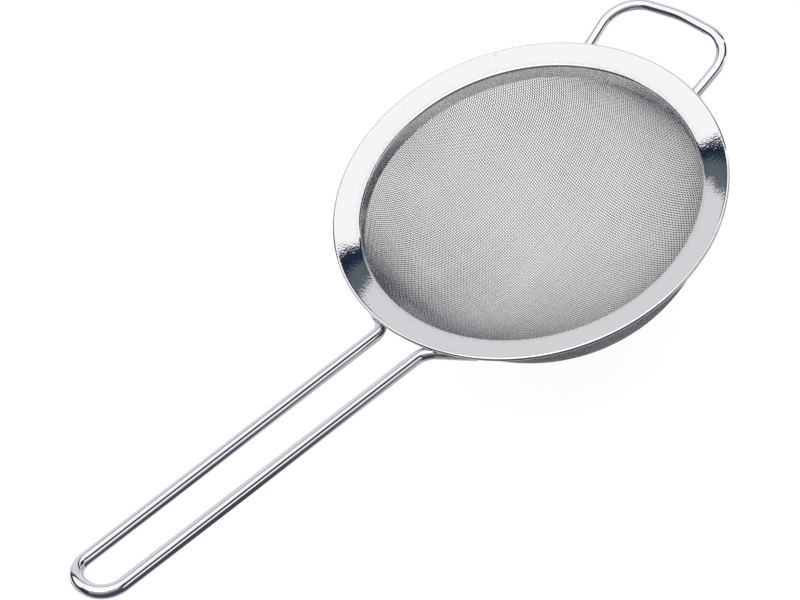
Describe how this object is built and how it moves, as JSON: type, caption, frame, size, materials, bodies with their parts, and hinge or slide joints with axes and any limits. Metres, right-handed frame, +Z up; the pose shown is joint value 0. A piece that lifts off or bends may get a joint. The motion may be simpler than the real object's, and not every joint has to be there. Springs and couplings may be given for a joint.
{
  "type": "kitchen sieve",
  "caption": "Round kitchen sieve with a woven wire bowl clamped in a pressed rim, a bent wire handle and a wire rest loop opposite.",
  "frame": {"origin": "centre of the mouth, where the straight neck of the rim meets the bend to the flange", "axes": "+Z up out of the mouth, -X along the handle, +X towards the rest loop"},
  "size_m": [0.3954, 0.18, 0.1214],
  "materials": {
    "rim_sheet": "polished",
    "hoop_sheet": "satin",
    "mesh_wire": "satin",
    "handle_steel": "polished",
    "loop_steel": "polished",
    "weld_metal": "rough"
  },
  "bodies": {
    "root": {"rim_flange": "rim_sheet", "clamp_hoop": "hoop_sheet", "warp_wires": "mesh_wire", "weft_wires": "mesh_wire", "handle_wire": "handle_steel", "rest_loop_wire": "loop_steel", "handle_welds": "weld_metal", "loop_welds": "weld_metal"}
  },
  "joints": []
}
